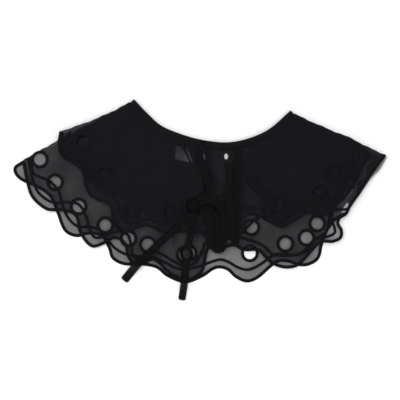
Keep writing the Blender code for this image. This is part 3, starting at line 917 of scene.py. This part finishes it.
def binding(node, span, material):
    """A stretch of the satin binding, folded over the gathered edge and a little puckered."""
    low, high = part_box(node)
    bottom, top = low.z / MM, high.z / MM
    at = np.linspace(*span, round(BINDING_STEPS * (span[1] - span[0])))
    sides, round_step = BINDING_SIDES, 0.9
    turn = np.arange(sides) * 2 * math.pi / sides
    edge = neck_line(at, -BINDING_BULGE)
    inner = neck_line(at, BINDING_WIDTH)
    along = shares(edge) * np.linalg.norm(np.diff(edge, axis=0), axis=1).sum()
    pucker = 0.12 * np.sin(along / 1.1) + 0.1 * np.sin(along / 2.3 + 1) + 0.08 * np.sin(along / 5.1)
    rings = []
    for angle in turn:
        # The puckers are deepest beside the seam.
        across, up = squarer(math.cos(angle), 0.5), squarer(math.sin(angle), 0.6)
        places = edge + (0.5 + 0.5 * across) * (inner - edge)
        lift = (bottom + top) / 2 + up * ((top - bottom) / 2 - 0.12 + pucker * (0.3 + 0.7 * max(0, across)))
        rings.append(np.column_stack([places, lift]))
    points = np.stack(rings, axis=1).reshape(-1, 3)
    uv = [(s, k * round_step) for s in along for k in range(sides)]
    faces = tube_faces(len(along), sides)
    name = node.replace("neck_binding", "binding_satin")
    piece = mesh_object(name, points, faces, material, uv)
    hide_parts(node)
    return piece


def ribbon(node, points, material):
    """A stretch of ribbon on its solid's form, a little cupped, with a raised edge on each side."""
    middle = spaced(smooth_line(points, RIBBON_STEP), RIBBON_STEP)
    way = heading(middle)
    side = np.column_stack([-way[:, 1], way[:, 0]])
    ground = Ground(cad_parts[node])
    along = shares(middle) * np.linalg.norm(np.diff(middle, axis=0), axis=1).sum()
    taper = np.ones(len(along))
    if node in SPREADS:
        widest, by = SPREADS[node]
        taper += (widest - 1) * np.sin(math.pi / 2 * (along / by).clip(0, 1)) ** 4
    # A neck stretch keeps its width. A loop gets narrower where it turns, and a tail at its cut end.
    if "neck" not in node:
        start, least = LOOP_END if "loop" in node else TAIL_END
        past = ((along - along[-1] + start) / start).clip(0, 1)
        taper *= least + (1 - least) * np.sqrt(1 - past**2)
    grid = []
    for share, rise in RIBBON_SECTION:
        places = middle + (share * RIBBON_WIDTH / 2 * taper)[:, None] * side
        wave = 0.25 * np.sin(along / 9 + share) * (1 - 0.4 * abs(share))
        grid.append(np.column_stack([places, ground.heights(places) - WALL / 2 + rise + wave]))
    points = np.stack(grid, axis=1).reshape(-1, 3)
    uv = [(s, share * RIBBON_WIDTH / 2) for s in along for share, _ in RIBBON_SECTION]
    faces = grid_faces(len(middle), len(RIBBON_SECTION))
    piece = mesh_object(node + "_cloth", points, faces, material, uv)
    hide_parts(node)
    return piece


def knot(material):
    """The knot: the ribbon wrapped three times round its own strands."""
    low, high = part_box("ribbon_knot")
    middle = (low + high) / 2 / MM
    length, width, height = KNOT_SIZE
    sides, round_step, half_length = KNOT_SIDES, 0.8, 8
    turn = np.arange(sides) * 2 * math.pi / sides
    points, uv = [], []
    for t in np.linspace(-1, 1, KNOT_RINGS):
        # The knot's ends are rounded, and each of its three wraps stands out by 7 percent.
        end = (1 - abs(t) ** 4) ** 0.5 * 0.94 + 0.06
        wrap = 1 + 0.07 * abs(math.cos(1.5 * math.pi * t))
        for k, angle in enumerate(turn):
            across, up = squarer(math.cos(angle), 0.7), squarer(math.sin(angle), 0.8)
            x = middle.x + t * length / 2 + KNOT_LEAN * up
            y = middle.y + across * end * wrap * width / 2
            z = middle.z + up * end * wrap * height / 2
            points.append((x, y, z))
            uv.append((k * round_step, t * half_length))
    faces = tube_faces(KNOT_RINGS, sides)
    piece = mesh_object("ribbon_knot_wrapped", points, faces, material, uv)
    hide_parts("ribbon_knot")
    return piece


# Studio


def table():
    """A plain white table, matt and very slightly rough."""
    material, tree, shader = blank("matt white painted board")
    grain = add(tree, "ShaderNodeTexNoise", {"Scale": 1 / (3 * MM), "Detail": 2.0})
    bump = add(
        tree, "ShaderNodeBump", {"Height": grain.outputs["Fac"], "Strength": 0.02, "Distance": 0.1 * MM}
    )
    shader.inputs["Base Color"].default_value = tone("#f6f6f6")
    shader.inputs["Roughness"].default_value = 0.9
    shader.inputs["Specular IOR Level"].default_value = 0.1
    tree.links.new(bump.outputs["Normal"], shader.inputs["Normal"])
    bpy.ops.mesh.primitive_plane_add(size=6.0, location=(0, 0, 0))
    board = bpy.context.object
    board.name = "table"
    board.data.materials.append(material)


def lights():
    """Soft light from all round, and a large softbox on each side."""
    world = bpy.data.worlds.new("studio")
    bpy.context.scene.world = world
    world.use_nodes = True
    background = world.node_tree.nodes["Background"]
    background.inputs["Color"].default_value = tone("#ffffff")
    background.inputs["Strength"].default_value = 0.82

    for name, place, size, power in [
        ("softbox_left", (-1.1, 0.9, 1.5), 1.4, 16.0),
        ("softbox_right", (1.3, -0.4, 1.6), 1.4, 6.0),
    ]:
        light = bpy.data.lights.new(name, "AREA")
        light.energy = power
        light.shape = "SQUARE"
        light.size = size
        lamp = bpy.data.objects.new(name, light)
        lamp.location = place
        lamp.rotation_euler = (-Vector(place)).to_track_quat("-Z", "Y").to_euler()
        bpy.context.scene.collection.objects.link(lamp)


def camera_above():
    """A camera straight above, as high as makes the picture PICTURE_WIDTH wide on the table."""
    camera = bpy.data.cameras.new("camera")
    camera.lens = 85.0
    camera.sensor_width = 36.0
    eye = bpy.data.objects.new("camera", camera)
    height = PICTURE_WIDTH * camera.lens / camera.sensor_width
    eye.location = (PICTURE_MIDDLE.x * MM, PICTURE_MIDDLE.y * MM, height * MM)
    bpy.context.scene.collection.objects.link(eye)
    bpy.context.scene.camera = eye
    bpy.context.scene.view_settings.view_transform = "Standard"


def make_collar():
    """Every piece of the collar, from the table up."""
    # Organza is grey where one layer lies on the table and black where four do.
    sheer = organza()
    # Satin's floating threads cross the binding at a slant and give it a faint gloss.
    satin = threads("black satin binding", "#0c0c0d", 0.4, 0.03, 0.45, 0.07, slant=0.7)
    # The stitch's threads lie side by side across a line, so that it looks finely ribbed.
    stitch = threads("black satin stitch", "#0e0e0f", 0.45, 0.1, 0.5, 0.05)
    # Grosgrain has wide dull ribs. Hardly any light comes through one layer.
    ribbed = threads("black grosgrain ribbon", "#0b0b0c", 0.9, 0.15, 0.6, 0.05, cover=0.955)
    # No light comes through the knot's layers. Its colour is darker than the ribbon's: painted shade, where
    # its wraps shade each other.
    wrapped = threads("black grosgrain ribbon with painted shade of the knot", "#0a0a0b", 0.9, 0.15, 0.6, 0.03)

    carried = {row.part: [] for row in CLOTHS}
    carried["back_under"].append(turned_hem(sheer))
    for part, tier, span in [
        ("back", "back_upper", (0, 1)),
        ("front_left", "front_left_upper", (0, LEFT_FRONT_END)),
        ("front_right", "front_right_upper", (RIGHT_FRONT_START, 1)),
    ]:
        carried[tier].append(binding(part + "_neck_binding", span, satin))
    laid = {}
    for row in CLOTHS:
        piece, size, area = lay_cloth(row, sheer)
        laid[row.part] = (row, piece)
        if row.part in TURNS:
            turn = TURNS[row.part]
            carried[row.part].append(shoulder_turn(turn, laid[turn.back], laid[row.part], sheer))
        stitching = stitch_cloth(row, piece, stitch)
    for node, points in RIBBON_STRETCHES.items():
        ribbon(node, points, ribbed)
    knot(wrapped)


make_collar()
table()
lights()
camera_above()
